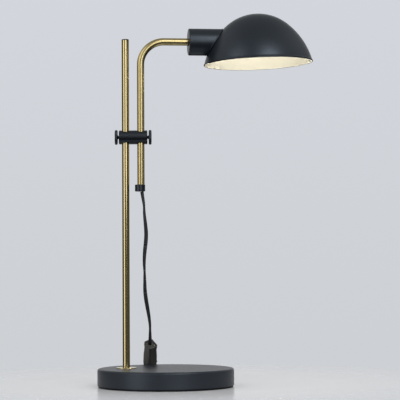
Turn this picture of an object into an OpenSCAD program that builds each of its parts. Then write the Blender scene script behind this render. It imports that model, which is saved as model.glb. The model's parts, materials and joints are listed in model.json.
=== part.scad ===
// Dome shade desk lamp: a round base, a slim mast, a cross clamp and an arm that carries a dome shade.
// Millimetres. X runs to the right towards the shade, Y to the back and Z up. The origin is the centre
// of the base's underside, on the table.

/* [Base] */
// Diameter of the base
base_d = 185; // [176:1:200]
// Height of the base over the table
base_h = 25; // [24:0.5:30]
// Thickness of the pad under the base
pad_t = 2.5; // [2:0.5:3]
// Radius of the cover's top edge
base_edge_r = 3; // [2:0.5:5]

/* [Mast and arm] */
// Diameter of the mast and of the arm's tube
tube_d = 10; // [9.5:0.5:10.5]
// How far the mast stands left of the base's centre
mast_offset = 53.4; // [48:0.1:56]
// Height of the mast's tip over the table
mast_top = 472.6; // [440:0.1:500]
// Distance between the mast and the arm's upright leg
tube_spacing = 20.8; // [20:0.1:22]
// Height of the arm's level leg over the table
leg_z = 469.4; // [455:0.1:480]
// Radius of the arm's bend, at the middle of the tube
bend_r = 32; // [28:1:36]
// Turn of the arm in the clamp, anticlockwise seen from above
arm_yaw = 7; // [-20:1:20]
// Height of the underside of the cord cap
cap_z = 264.7; // [255:0.1:275]

/* [Clamp] */
// Height of the clamp's axis over the table
clamp_z = 338.4; // [320:0.1:350]
// Diameter of the clamp's body
clamp_d = 19; // [18:0.5:21]
// Length of the clamp's body
clamp_l = 38.5; // [38:0.5:40]
// Diameter of a thumb screw's disc
thumb_d = 20; // [18:0.5:22]

/* [Shade] */
// Height of the dome over its rim
dome_h = 68.7; // [66:0.1:72]
// Radius of the round top of the dome
dome_cap_r = 65; // [63:0.5:67]
// Radius of the flatter arc down the dome's side
dome_side_r = 100; // [95:1:105]
// Slope at which the two arcs meet
dome_meet = 40; // [36:1:44]
// Distance of the dome's middle from the upright leg
dome_s = 162.5; // [160:0.5:166]
// Drop of the rim's middle under the level leg
rim_drop = 28.9; // [28:0.1:30]
// Pitch of the dome, far side up
dome_pitch = 2.1; // [0:0.1:4]
// Thickness of the sheet that the shade is pressed from
sheet_t = 1; // [0.8:0.1:1.2]
// Diameter of the socket cup
cup_d = 36.8; // [36:0.2:38]

/* [Cord] */
// Width of the flat twin flex
cord_w = 5.4; // [5:0.1:5.6]
// Thickness of the flat twin flex
cord_t = 3.2; // [3:0.1:3.4]

/* [Hidden] */
$fn = 72;

// Tubes
tube_r = tube_d / 2;
tube_wall = 1;
tube_bore = tube_r - tube_wall;
mast_x = -mast_offset;
arm_x = mast_x + tube_spacing;
run = 0.04; // radial clearance of a part that slides or turns on another
plug_h = 1.6;

// Base
base_r = base_d / 2;
cover_t = 1.2;
weight_r = base_r - cover_t - 0.3;
weight_rim = 11; // width of the weight's deep rim
weight_web = 11.8; // thickness of the weight inside that rim
boss_r = 14;
mast_foot = 13; // height of the mast's lower end
bolt_r = 3;
bolt_head_r = 5;
bolt_head_h = 5.5;
recess_r = 7;
recess_top = 9.5;
washer_t = 1.2;
flange_r = 14;
flange_t = 1.2;
insert_h = 14;

// Clamp
clamp_r = clamp_d / 2;
clamp_x = (mast_x + arm_x) / 2;
bush_r = tube_r + 1;
bush_h = 14.4;
rib_r = bush_r + 0.8;
rib_z = [-5.4, -3.8]; // lower and upper face of the rib that keeps a bush in its groove
thumb_r = thumb_d / 2;
thumb_t = 3;
thumb_gap = 2.3; // between the clamp's end and the disc
thumb_shank_r = 2;
press_pad_t = 1;
thumb_flutes = 36;

// Arm and cord cap
cap_r = 7;
cap_h = 9.2;
cap_shift = 1.3; // the cap's body is off the tube's axis, which leaves a thick side for its screw
cap_floor = 2.3;
cap_hole_r = 3.4;
grub_r = 1.5;

// Distances along the level leg from the upright leg's axis
cup_s = 65.7; // the cup's back face
leg_end_s = cup_s - 0.7;
nipple_r = tube_bore;
nipple_bore = 2.9;
nipple_s = [55, 82];
fibre_t = 0.6;
cup_r = cup_d / 2;
cup_wall = 1.5;
cup_back = 2.5;
cup_edge_r = 1.2;
cup_cut_l = 56; // long enough to reach through the dome before the cup is trimmed to it
lip_from = 10; // the lip is drawn from here on along the cup
lip_t = 0.4;
lip_w = 1.5;
nut_s = cup_s + cup_back + 0.9;
nut_h = 4;
holder_s = 75; // the lampholder's back
holder_r = 12.5;
skirt_s = 86;
skirt_end = 121;
insert_s = 88;
insert_end = 98;
lead_y = 2; // the two leads lie this far from the axis
lead_r = 1.2;
collar_s = 119;
glass_s = 134;
bulb_r = 17.5;
bulb_end = 193;
glass_wide = 20; // from the glass's foot to its widest place
seam = 0.5; // gap between the cup and the dome
lug_y = 15.2;
lug_r = 2;
lug_tap_r = 1.25; // tapped hole of a lug, and the screw in it
lug_solid = 6; // closed foot of a lug
screw_l = 12;
screw_hole_r = 1.4;
screw_head_r = 2;
screw_head_h = 1.4;
screw_head_s = 104.5; // just inside the dome's wall
hole_r = 13.5; // hole in the dome for the lampholder

// Dome profile: an arc round the top, centred on the dome's axis, and a flatter arc down the side
side_x = (dome_cap_r - dome_side_r) * sin(dome_meet);
side_h = dome_h - dome_cap_r + (dome_cap_r - dome_side_r) * cos(dome_meet);
rim_r = side_x + sqrt(dome_side_r * dome_side_r - side_h * side_h);
curl_r = 1; // radius of the curled rim
curl_out = 0.4; // how far the curl stands out of the dome's side

// In-line switch: its upper end's middle, its tilt towards the front and its turn on its own axis
switch_at = [-22.6, 74.65, 54.35];
switch_tilt = [43, 4, 0];
switch_turn = [0, 0, -54];
switch_l = 60;
switch_half = [8.4, 6.8]; // half its width and half its depth
switch_corner = 9.3; // distance of its bevelled corners from its axis
room_half = [5.6, 4.6]; // half the width and half the depth of the room inside it
room_end = 14; // distance of the room from its ends
switch_screw_r = 1;
switch_screw_x = 4.6;
switch_screw_end = 9.5; // distance of its screws from its ends
switch_seat = 4.8; // depth of the screw heads' seats from the parting line
flex_hole = [-1.6, 0, 1.6]; // place and radius of the flex's way between the switch's halves
rocker_at = -29;
rocker_tilt = 8;
rocker_axis_y = 3.4;
rocker_w = 8;
rocker_pins = 12.4; // from pin end to pin end
pin_r = 1.1;

// Cord: from the cap to the switch, then on from the switch's lower end to the coil
cord_r = 2.4; // the plain round tube that stands for the flat flex
drop_route = [[-31.4, 0, 264.3], [-30, 0, 255], [-28.7, 0, 246], [-28.2, 0.5, 234], [-27, 1, 222],
              [-26, 2.5, 208], [-26.6, 4, 196], [-28.2, 6.5, 182], [-29, 9.5, 168], [-28.7, 13, 156],
              [-28.6, 18, 142], [-28.5, 23, 130], [-27.3, 29, 117], [-25.5, 35, 105], [-23.8, 42, 93],
              [-22.8, 49, 82], [-22.9, 57.5, 71.5], [-23.2, 66.5, 62.9], [-23.6, 75.4, 55.2]];
lead_route = [[-26.6, 116.5, 11.4], [-26.8, 120.4, 7.2], [-26.8, 125, 4.2], [-26.5, 130.4, 2.95],
              [-26, 136.5, 2.75], [-25, 143, 2.75], [-22.9, 149.7, 2.75], [-20, 156, 2.75],
              [-15.6, 162.2, 2.75], [-9.5, 167.2, 2.75], [-2, 170.4, 2.75], [7, 171.4, 2.85],
              [20, 171.4, 3], [32, 171.4, 3.2]];
tail_route = [[19.5, 110.5, 8.65], [12, 118, 8.7], [4, 126, 8.8], [-4, 134.2, 8.8], [-10, 141.4, 8.8],
              [-13.4, 149, 8.8], [-14.4, 156.5, 8.8], [-15.2, 165, 8.6], [-19.5, 174, 7.6],
              [-27, 180, 5.2], [-37, 182.6, 3.2], [-47, 180.6, 2.9], [-55, 175, 3.8],
              [-60, 168, 5.2], [-61.9, 161.5, 6.4], [-62, 156, 6.85]];
coil_at = [44, 135, 0];
coil_r = [24.3, 38.3]; // inner and outer radius of the bundle of turns, in which the flex stands on edge
coil_z = [0.5, 11.4];
tie_t = 0.5;
tie_w = 6;
tie_gap = 0.25; // between the flat tie and the round of the coil

// Plug: flat on the table behind the base, with its pins towards the base
plug_at = [-62, 134, 0];
plug_l = 36;
plug_w = 35;
plug_body_h = 13.7;
pin_gap = 18.8;
plug_pin_r = 2;
pin_l = 19;
relief_l = 22;
relief_r = [4.4, 3.3]; // at the plug and at the free end
relief_rings = 4;
relief_groove = [0.7, 1.6]; // depth and width

function arc(x, y, r, from, to, n) =
    [for (i = [0:n]) let(a = from + (to - from) * i / n) [x + r * cos(a), y + r * sin(a)]];
function backwards(v) = [for (i = [len(v) - 1:-1:0]) v[i]];
function unit(v) = v / norm(v);

// Outline of the dome from the rim to the pole, moved out by grow
function dome_line(grow, n) = let(r = dome_side_r + grow) concat(
    arc(side_x, side_h, r, -asin(side_h / r), 90 - dome_meet, n),
    arc(0, dome_h - dome_cap_r, dome_cap_r + grow, 90 - dome_meet, 90, ceil(n / 2)));

// A tube along a route, as one closed mesh: a ring at each point, square to the route there
function route_dir(p, i) = unit(p[min(i + 1, len(p) - 1)] - p[max(i - 1, 0)]);
function ring_side(d) = unit(cross(d, [1, 0.2, 0.1]));
module route_tube(p, r, sides) {
    rings = [for (i = [0:len(p) - 1]) let(d = route_dir(p, i), u = ring_side(d), v = cross(d, u))
        for (k = [0:sides - 1]) p[i] + r * (cos(360 * k / sides) * u + sin(360 * k / sides) * v)];
    last = len(p) - 1;
    polyhedron(points = rings, faces = concat(
        [[for (k = [sides - 1:-1:0]) last * sides + k]], [[for (k = [0:sides - 1]) k]],
        [for (i = [0:last - 1]) for (k = [0:sides - 1]) let(n = (k + 1) % sides)
            [i * sides + k, (i + 1) * sides + k, (i + 1) * sides + n, i * sides + n]]), convexity = 6);
}

module pipe(r, bore, h) difference() {
    cylinder(r = r, h = h);
    translate([0, 0, -1]) cylinder(r = bore, h = h + 2);
}

// Places what is drawn along Z with its axis along the level leg
module on_leg(s) translate([arm_x, 0, leg_z]) rotate([0, 0, arm_yaw]) translate([s, 0, 0])
    rotate([0, 90, 0]) children();
// Places the dome, drawn upright with its rim at Z 0
module on_dome() translate([arm_x, 0, leg_z]) rotate([0, 0, arm_yaw]) translate([dome_s, 0, -rim_drop])
    rotate([0, -dome_pitch, 0]) children();
// Places what is drawn with the switch's upper end at the origin and its length down Z
module on_switch() translate(switch_at) rotate(switch_tilt) rotate(switch_turn) children();

// ---- base ----

// Half the outline of the cover, moved in by inset, from foot up
module base_profile(inset, foot) {
    r = base_r - inset;
    e = base_edge_r - inset;
    polygon(concat([[0, foot], [r, foot]], arc(r - e, base_h - inset - e, e, 0, 90, 8),
                   [[0, base_h - inset]]));
}

module base_cover() color("#3c4249") difference() {
    rotate_extrude() difference() {
        base_profile(0, pad_t);
        base_profile(cover_t, 0);
    }
    translate([mast_x, 0, base_h - 5]) cylinder(r = tube_r, h = 10);
}

module base_weight() color("#2b2b2d") difference() {
    union() {
        rotate_extrude() translate([0, base_h - cover_t]) polygon([
            [0, 0], [weight_r - 4, 0], [weight_r, -4], [weight_r, pad_t - base_h + cover_t],
            [weight_r - weight_rim, pad_t - base_h + cover_t], [weight_r - weight_rim - 2, -weight_web],
            [0, -weight_web]]);
        translate([mast_x, 0, pad_t]) cylinder(r = boss_r, h = base_h - cover_t - pad_t);
    }
    translate([mast_x, 0, mast_foot]) cylinder(r = tube_r, h = base_h);
    translate([mast_x, 0, 0]) cylinder(r = bolt_r + 0.2, h = base_h);
    translate([mast_x, 0, 0]) cylinder(r = recess_r, h = recess_top);
}

module base_pad() color("#101014") cylinder(r = base_r - 1.1, h = pad_t, $fn = 96);

// ---- mast ----

module mast() color("#b5924c") translate([mast_x, 0, mast_foot])
    pipe(tube_r, tube_bore, mast_top - plug_h - mast_foot);

module mast_plug() color("#25262a") translate([mast_x, 0, mast_top - plug_h]) {
    rotate_extrude() polygon(concat([[0, 0], [tube_r, 0], [tube_r, plug_h / 2]],
        arc(tube_r - 1.2, plug_h - 0.8, 0.8, 30, 90, 3), [[0, plug_h]]));
    translate([0, 0, -8]) pipe(tube_bore, tube_bore - 1, 8);
}

module mast_flange() color("#c9a55a") translate([mast_x, 0, base_h]) rotate_extrude()
    polygon([[tube_r, 0], [flange_r, 0], [flange_r, flange_t - 0.4], [flange_r - 0.4, flange_t],
             [tube_r, flange_t]]);

module mast_insert() color("#8d8f93") translate([mast_x, 0, mast_foot]) pipe(tube_bore, bolt_r, insert_h);

module mast_screw() color("#8d8f93") translate([mast_x, 0, recess_top - washer_t]) {
    cylinder(r = bolt_r, h = 17);
    difference() {
        translate([0, 0, -bolt_head_h]) cylinder(r = bolt_head_r, h = bolt_head_h);
        translate([0, 0, -bolt_head_h - 1]) cylinder(r = 2.9, h = 4, $fn = 6);
    }
}

module mast_washer() color("#9b9da1") translate([mast_x, 0, recess_top - washer_t])
    pipe(recess_r - 0.6, bolt_r, washer_t);

// ---- clamp ----

// A liner of one of the clamp's holes, split down one side so that the thumb screw can close it
module bush(x, slot_dir) color("#17181a") translate([x, 0, clamp_z]) difference() {
    rotate_extrude() polygon([
        [tube_r + run, -bush_h / 2], [bush_r, -bush_h / 2], [bush_r, rib_z[0]], [rib_r, rib_z[0]],
        [rib_r, rib_z[1]], [bush_r, rib_z[1]], [bush_r, bush_h / 2], [tube_r + run, bush_h / 2]]);
    translate([slot_dir * bush_r, 0, 0]) cube([4, 1, bush_h + 2], center = true);
}

module mast_bush() bush(mast_x, 1);
module arm_bush() bush(arm_x, -1);

// The hole in the clamp that a bush sits in, with a groove for its rib
module bush_hole(x) translate([x, 0, clamp_z]) {
    cylinder(r = bush_r + run, h = 2 * clamp_r, center = true);
    translate([0, 0, rib_z[0] - 0.05]) cylinder(r = rib_r + run, h = rib_z[1] - rib_z[0] + 0.1);
}

module clamp_body() color("#26292d") difference() {
    translate([clamp_x, 0, clamp_z]) rotate([0, 90, 0]) rotate_extrude() polygon([
        [0, -clamp_l / 2], [clamp_r - 0.6, -clamp_l / 2], [clamp_r, 0.6 - clamp_l / 2],
        [clamp_r, clamp_l / 2 - 0.6], [clamp_r - 0.6, clamp_l / 2], [0, clamp_l / 2]]);
    bush_hole(mast_x);
    bush_hole(arm_x);
    for (side = [-1, 1]) translate([clamp_x + side * clamp_l / 2, 0, clamp_z]) rotate([0, side * 90, 0])
        translate([0, 0, -4]) cylinder(r = thumb_shank_r + run, h = 6);
}

// Places what is drawn along Z with its foot on a bush's outside and its length out of the clamp's end
module on_thumb(side) translate([side < 0 ? mast_x : arm_x, 0, clamp_z]) rotate([0, side * 90, 0])
    translate([0, 0, bush_r + run]) children();

module pressure_pad(side) color("#b08d45") on_thumb(side) cylinder(r = thumb_shank_r, h = press_pad_t);
module left_pressure_pad() pressure_pad(-1);
module right_pressure_pad() pressure_pad(1);

module thumb_screw(side) color("#26292d") on_thumb(side) {
    // from the pad's outer face to the clamp's end, and on to the disc
    reach = clamp_l / 2 - tube_spacing / 2 - bush_r - run + thumb_gap;
    translate([0, 0, press_pad_t]) cylinder(r = thumb_shank_r, h = reach - press_pad_t);
    translate([0, 0, reach - 1]) cylinder(r1 = thumb_shank_r, r2 = thumb_shank_r + 1, h = 1);
    difference() {
        translate([0, 0, reach]) rotate_extrude() polygon([
            [0, 0], [thumb_r - 0.4, 0], [thumb_r, 0.4], [thumb_r, thumb_t - 0.4],
            [thumb_r - 0.4, thumb_t], [0, thumb_t]]);
        for (i = [0:thumb_flutes - 1]) rotate([0, 0, 360 * i / thumb_flutes])
            translate([thumb_r + 0.35, 0, reach - 1]) cylinder(r = 0.6, h = thumb_t + 2, $fn = 16);
    }
}
module left_thumb_screw() thumb_screw(-1);
module right_thumb_screw() thumb_screw(1);

// ---- arm ----

// Sweeps a profile up from z0, round the bend and along the level leg to s1. The profile's X points
// to the outside of the bend all the way.
module along_arm(z0, s1) translate([arm_x, 0, 0]) rotate([0, 0, arm_yaw]) {
    translate([0, 0, z0]) rotate([0, 0, 180]) linear_extrude(leg_z - bend_r - z0) children();
    translate([bend_r, 0, leg_z - bend_r]) rotate([90, 0, 0]) rotate([0, 0, 90])
        rotate_extrude(angle = 90) translate([bend_r, 0]) children();
    translate([bend_r, 0, leg_z]) rotate([0, 90, 0]) rotate([0, 0, 180])
        linear_extrude(s1 - bend_r) children();
}

module arm_tube() color("#b5924c") along_arm(cap_z + cap_floor, leg_end_s) difference() {
    circle(r = tube_r);
    circle(r = tube_bore);
}

module cord_cap() color("#17181a") difference() {
    translate([arm_x - cap_shift, 0, cap_z]) rotate_extrude() polygon([
        [0, 0], [cap_r - 0.6, 0], [cap_r, 0.6], [cap_r, cap_h - 0.6], [cap_r - 0.6, cap_h], [0, cap_h]]);
    translate([arm_x, 0, cap_z + cap_floor]) cylinder(r = tube_r, h = cap_h);
    translate([arm_x, 0, cap_z - 1]) cylinder(r = cap_hole_r, h = cap_h);
    translate([arm_x, 0, cap_z + cap_h / 2 + 1]) rotate([0, -90, 0]) cylinder(r = grub_r, h = 12);
}

module cap_grub_screw() color("#6f7176") translate([arm_x - tube_r, 0, cap_z + cap_h / 2 + 1])
    rotate([0, -90, 0]) difference() {
        cylinder(r = grub_r, h = 2.9);
        translate([0, 0, 1.6]) cylinder(r = 0.85, h = 3, $fn = 6);
    }

// The flat flex inside the arm: two cores side by side
module inner_cord() color("#101114") along_arm(cap_z, nipple_s[1] - 1) union() {
    for (side = [-1, 1]) translate([0, side * (cord_w - cord_t) / 2]) circle(r = cord_t / 2);
    square([cord_t, cord_w - cord_t], center = true);
}

// ---- pivot at the end of the level leg ----

module pivot_nipple() color("#b9bbbf") on_leg(nipple_s[0])
    pipe(nipple_r, nipple_bore, nipple_s[1] - nipple_s[0]);
module pivot_fibre_washer() color("#5c3a2a") on_leg(leg_end_s) pipe(tube_r, nipple_r, fibre_t);
module pivot_wave_washer() color("#a9abb0") on_leg(cup_s + cup_back + 0.1) pipe(7.5, nipple_r, 0.8);
module pivot_nut() color("#a9abb0") on_leg(nut_s) difference() {
    cylinder(r = 6.9, h = nut_h, $fn = 6);
    translate([0, 0, -1]) cylinder(r = nipple_r, h = nut_h + 2);
}

// ---- lampholder and bulb ----

module holder_cap() color("#1b1c1f") on_leg(holder_s) rotate_extrude() polygon([
    [nipple_r, 0], [8, 0], [holder_r - 1.5, 4], [holder_r, 7], [holder_r, skirt_s - holder_s],
    [holder_r - 1.5, skirt_s - holder_s], [holder_r - 1.5, 7.2], [7.2, 5], [7.2, 7], [nipple_r, 7]]);

module holder_skirt() color("#1b1c1f") on_leg(skirt_s) rotate_extrude() polygon([
    [holder_r - 1.5, 0], [holder_r, 0], [holder_r, skirt_end - skirt_s - 0.8],
    [holder_r - 0.8, skirt_end - skirt_s], [8.2, skirt_end - skirt_s], [8.2, skirt_end - skirt_s - 2],
    [holder_r - 1.5, skirt_end - skirt_s - 3]]);

module holder_insert() color("#e8e4da") on_leg(insert_s) difference() {
    union() {
        cylinder(r = holder_r - 1.6, h = 6);
        cylinder(r = 7.5, h = insert_end - insert_s);
    }
    for (side = [-1, 1]) translate([0, side * lead_y, -1]) cylinder(r = lead_r + 0.1, h = 4);
}

module holder_shell() color("#b9a05a") on_leg(insert_end) rotate_extrude() polygon(concat(
    [for (i = [0:20]) [7.1 + 0.25 * cos(180 * i), i]],
    [for (i = [20:-1:0]) [7.6 + 0.25 * cos(180 * i), i]]));

module holder_tongue() color("#b9a05a") on_leg(insert_end) {
    cylinder(r = 2.2, h = 0.6);
    translate([0, 0, 0.6]) cylinder(r1 = 2.2, r2 = 1.4, h = 0.8, $fn = 24);
}

module holder_leads() color("#7a4a2a") on_leg(nipple_s[1]) for (side = [-1, 1])
    translate([0, side * lead_y, 1.5]) cylinder(r = lead_r, h = insert_s - nipple_s[1] - 0.5, $fn = 24);

module bulb_tip() color("#a9abb0") on_leg(insert_end + 1.4) cylinder(r1 = 1.5, r2 = 2.6, h = 1.6, $fn = 32);

module bulb_cap() color("#c4c6ca") on_leg(insert_end + 3) rotate_extrude() polygon(concat(
    [[0, 0], [4, 0], [6.2, 1.5]],
    [for (i = [2:17]) [6.35 + 0.25 * cos(180 * i), i]], [[6.3, collar_s - insert_end - 3],
    [0, collar_s - insert_end - 3]]));

module bulb_collar() color("#efece4") on_leg(collar_s) rotate_extrude() polygon([
    [0, 0], [6.8, 0], [8.4, 3], [13.4, glass_s - collar_s - 2], [14.2, glass_s - collar_s],
    [13.2, glass_s - collar_s], [0, glass_s - collar_s - 1.5]]);

// Outline of the candle glass: it swells to glass_wide and is drawn in to a rounded tip. t is 0 at its
// foot and 1 at its tip.
function candle(t, wall) = let(r = bulb_r - wall, z = t * (bulb_end - glass_s - wall),
    u = (z - glass_wide) / (bulb_end - glass_s - wall - glass_wide))
    [z < glass_wide ? r * (1 - 0.22 * pow(1 - z / glass_wide, 2)) : r * pow(max(0, 1 - pow(u, 2.2)), 0.8), z];
function candle_line(wall) = [for (i = [0:18]) candle(sin(5 * i), wall)];
module bulb_glass() color("#fff4d8") on_leg(glass_s)
    rotate_extrude() polygon(concat(candle_line(0), backwards(candle_line(0.8))));

// ---- cup and shade ----

module dome_solid(grow, n) rotate_extrude($fn = 96) polygon(concat([[0, 0]], dome_line(grow, n)));

module socket_cup() color("#33383f") {
    difference() {
        union() {
            on_leg(cup_s) rotate_extrude() polygon(concat(
                arc(cup_r - cup_edge_r, cup_edge_r, cup_edge_r, -90, 0, 4),
                [[cup_r, cup_cut_l], [cup_r - cup_wall, cup_cut_l], [cup_r - cup_wall, cup_back],
                [tube_bore + run, cup_back], [tube_bore + run, 0]]));
            // a lip that follows the dome
            intersection() {
                on_leg(cup_s + lip_from) pipe(cup_r + lip_t, cup_r - cup_wall, cup_cut_l - lip_from);
                on_dome() dome_solid(seam + lip_w, 12);
            }
        }
        on_dome() dome_solid(seam, 12);
    }
    // two lugs that the shade is screwed to
    difference() {
        on_leg(cup_s + cup_back) for (side = [-1, 1]) translate([0, side * lug_y, 0]) difference() {
            cylinder(r = lug_r, h = cup_cut_l, $fn = 32);
            translate([0, 0, lug_solid]) cylinder(r = lug_tap_r, h = cup_cut_l, $fn = 24);
        }
        on_dome() dome_solid(0, 12);
        on_leg(cup_s) pipe(cup_d, cup_r - cup_wall, cup_cut_l + 10);
    }
}

module shade() color("#33383f") difference() {
    on_dome() rotate_extrude($fn = 96) {
        polygon(concat(dome_line(0, 18), backwards(dome_line(-sheet_t, 18))));
        translate([rim_r + curl_out - curl_r, curl_r]) circle(r = curl_r, $fn = 24);
    }
    on_leg(cup_s) cylinder(r = hole_r, h = cup_cut_l);
    on_leg(cup_s) for (side = [-1, 1]) translate([0, side * lug_y, 0])
        cylinder(r = screw_hole_r, h = cup_cut_l, $fn = 24);
}

module shade_screws() color("#8d8f93") on_leg(0) for (side = [-1, 1]) translate([0, side * lug_y, 0]) {
    translate([0, 0, screw_head_s - screw_l]) cylinder(r = lug_tap_r, h = screw_l, $fn = 24);
    translate([0, 0, screw_head_s]) cylinder(r = screw_head_r, h = screw_head_h, $fn = 24);
}

// ---- in-line switch ----

// Half the outline of the switch along its length, the same at both ends
function switch_edge(a) = [[a, 0], [a, -5], [a - 0.5, -7.5], [a - 0.4, -12], [a + 0.3, -22],
    [a + 0.3, -switch_l + 22], [a - 0.4, -switch_l + 12], [a - 0.5, -switch_l + 7.5],
    [a, -switch_l + 5], [a, -switch_l]];
module switch_outline(a) polygon(concat(switch_edge(a),
    [for (p = backwards(switch_edge(a))) [-p[0], p[1]]]));
module switch_slab(a, depth) rotate([90, 0, 0]) linear_extrude(depth, center = true) switch_outline(a);

module switch_solid() intersection() {
    switch_slab(switch_half[0], 30);
    rotate([0, 0, 90]) switch_slab(switch_half[1], 30);
    rotate([0, 0, 45]) switch_slab(switch_corner, 30);
    rotate([0, 0, -45]) switch_slab(switch_corner, 30);
}

module switch_room() {
    translate([-room_half[0], -room_half[1], -switch_l + room_end])
        cube([2 * room_half[0], 2 * room_half[1], switch_l - 2 * room_end]);
    translate([flex_hole[0], flex_hole[1], -switch_l - 5])
        cylinder(r = flex_hole[2], h = switch_l + 10, $fn = 32);
}

module rocker_well() {
    translate([-rocker_w / 2 - 0.3, 0, rocker_at - 11]) cube([rocker_w + 0.6, 12, 22]);
    translate([0, rocker_axis_y, rocker_at]) rotate([0, 90, 0])
        cylinder(r = pin_r + run, h = rocker_pins + 0.6, center = true, $fn = 32);
}

module switch_front() color("#1c1d1a") on_switch() difference() {
    intersection() {
        switch_solid();
        translate([-15, -15, -switch_l - 5]) cube([30, 15, switch_l + 10]);
    }
    switch_room();
    switch_screw_places() cylinder(r = switch_screw_r, h = 12, center = true, $fn = 24);
}

module switch_back() color("#1c1d1a") on_switch() difference() {
    intersection() {
        union() {
            switch_solid();
            translate([0, switch_half[1] - 0.4, -6.5]) rotate([0, 90, 0])
                cylinder(r = 1.4, h = 8, center = true, $fn = 24);
        }
        translate([-15, 0, -switch_l - 5]) cube([30, 15, switch_l + 10]);
    }
    switch_room();
    rocker_well();
    switch_screw_places() {
        cylinder(r = switch_screw_r, h = 12, center = true, $fn = 24);
        translate([0, 0, switch_seat]) cylinder(r = 2, h = 12, $fn = 24);
    }
}

module switch_screw_places() for (z = [-switch_screw_end, -switch_l + switch_screw_end])
    translate([switch_screw_x, 0, z]) rotate([-90, 0, 0]) children();

module switch_screws() color("#8d8f93") on_switch() switch_screw_places() {
    translate([0, 0, -4]) cylinder(r = switch_screw_r, h = switch_seat + 4.1, $fn = 24);
    translate([0, 0, switch_seat]) cylinder(r = 1.9, h = 1.2, $fn = 24);
}

// A rocker with two faces that meet at the middle, and a pin on each side
module switch_rocker() color("#232421") on_switch() translate([0, rocker_axis_y, rocker_at])
    rotate([rocker_tilt, 0, 0]) {
        rotate([90, 0, 90]) translate([0, 0, -rocker_w / 2]) linear_extrude(rocker_w) difference() {
            polygon(concat([[3.9, 10], [0, 4], [-1.6, 2]], [[-1.6, -2], [0, -4], [3.9, -10]],
                [[5.6, -10]], [[3.9, 0]], [[5.6, 10]]));
        }
        rotate([0, 90, 0]) cylinder(r = pin_r, h = rocker_pins, center = true, $fn = 32);
    }

module switch_terminals() color("#b9a05a") on_switch() for (z = [-19, -switch_l + 17])
    translate([0.2 - room_half[0], 0.2 - room_half[1], z]) cube([3, 3, 3]);

// ---- rest of the cord ----

module cord_drop() color("#101114") route_tube(drop_route, cord_r, 8);
module cord_lead() color("#101114") route_tube(lead_route, cord_r, 8);
module cord_tail() color("#101114") route_tube(tail_route, cord_r, 8);

// Two layers of turns, the upper one half a turn's width narrower on each side
module cord_coil() color("#101114") translate(coil_at) rotate_extrude() polygon([
    [coil_r[0], coil_z[0]], [coil_r[1], coil_z[0]], [coil_r[1], coil_z[0] + cord_w],
    [coil_r[1] - cord_t / 2, coil_z[1]], [coil_r[0] + cord_t / 2, coil_z[1]],
    [coil_r[0], coil_z[0] + cord_w]]);

module cord_tie() color("#2a2b2e") translate(coil_at) rotate([0, 0, -35]) rotate([90, 0, 0])
    linear_extrude(tie_w, center = true) difference() {
        translate([coil_r[0] - tie_t - tie_gap, 0])
            square([coil_r[1] - coil_r[0] + 2 * (tie_t + tie_gap), coil_z[1] + tie_t]);
        translate([coil_r[0] - tie_gap, tie_t])
            square([coil_r[1] - coil_r[0] + 2 * tie_gap, coil_z[1] - tie_t]);
    }

// ---- plug ----

module plug_outline() polygon([[-plug_w / 2, 0], [plug_w / 2, 0], [plug_w / 2, 13], [9, 30], [6.4, plug_l],
    [-6.4, plug_l], [-9, 30], [-plug_w / 2, 13]]);
module plug_body() color("#141518") translate(plug_at) translate([0, -plug_l, 0]) intersection() {
    linear_extrude(plug_body_h) offset(r = 1.5) offset(delta = -1.5) plug_outline();
    translate([-20, 0, 0]) rotate([90, 0, 90]) linear_extrude(40) polygon([[0, 1], [1, 0], [18, 0],
        [plug_l, 2.2], [plug_l, plug_body_h - 2.2], [18, plug_body_h], [1, plug_body_h],
        [0, plug_body_h - 1]]);
}

// A tapered sleeve with grooves, so that it bends with the flex
module plug_relief() color("#141518") translate(plug_at) translate([0, 0, plug_body_h / 2])
    rotate([-90, 0, 0]) rotate_extrude($fn = 32) difference() {
        polygon([[cord_r, 0], [relief_r[0], 0], [relief_r[1], relief_l], [cord_r, relief_l]]);
        for (i = [1:relief_rings]) let(z = i * relief_l / (relief_rings + 1),
            r = relief_r[0] + (relief_r[1] - relief_r[0]) * z / relief_l)
            translate([r - relief_groove[0], z - relief_groove[1] / 2]) square([3, relief_groove[1]]);
    }

module plug_pins() color("#c9a55a") for (side = [-1, 1])
    translate(plug_at + [side * pin_gap / 2, -plug_l, plug_body_h / 2]) rotate([90, 0, 0])
        rotate_extrude($fn = 32)
        polygon([[0, 0], [plug_pin_r, 0], [plug_pin_r, pin_l - 1.5], [plug_pin_r - 1, pin_l], [0, pin_l]]);

base_cover();
base_weight();
base_pad();
mast();
mast_plug();
mast_flange();
mast_insert();
mast_screw();
mast_washer();
mast_bush();
clamp_body();
arm_bush();
left_pressure_pad();
right_pressure_pad();
left_thumb_screw();
right_thumb_screw();
arm_tube();
cord_cap();
cap_grub_screw();
inner_cord();
pivot_nipple();
pivot_fibre_washer();
pivot_wave_washer();
pivot_nut();
holder_cap();
holder_skirt();
holder_insert();
holder_shell();
holder_tongue();
holder_leads();
bulb_glass();
bulb_collar();
bulb_cap();
bulb_tip();
socket_cup();
shade();
shade_screws();
cord_drop();
switch_front();
switch_back();
switch_rocker();
switch_screws();
switch_terminals();
cord_lead();
cord_coil();
cord_tie();
cord_tail();
plug_body();
plug_relief();
plug_pins();
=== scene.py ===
# %% [markdown]
# # A dome shade desk lamp
# The lamp has a round painted base, a thin brass mast, a cross clamp and a bent brass arm that carries a
# dome shade. The frame already holds every part at its real size. Here each one gets its look: the paint,
# the brushed brass, the cord and the soft forms that a plain solid leaves out.

# %% Load the frame and keep its box
import json
import math

import bpy
from mathutils import Matrix, Vector


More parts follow.
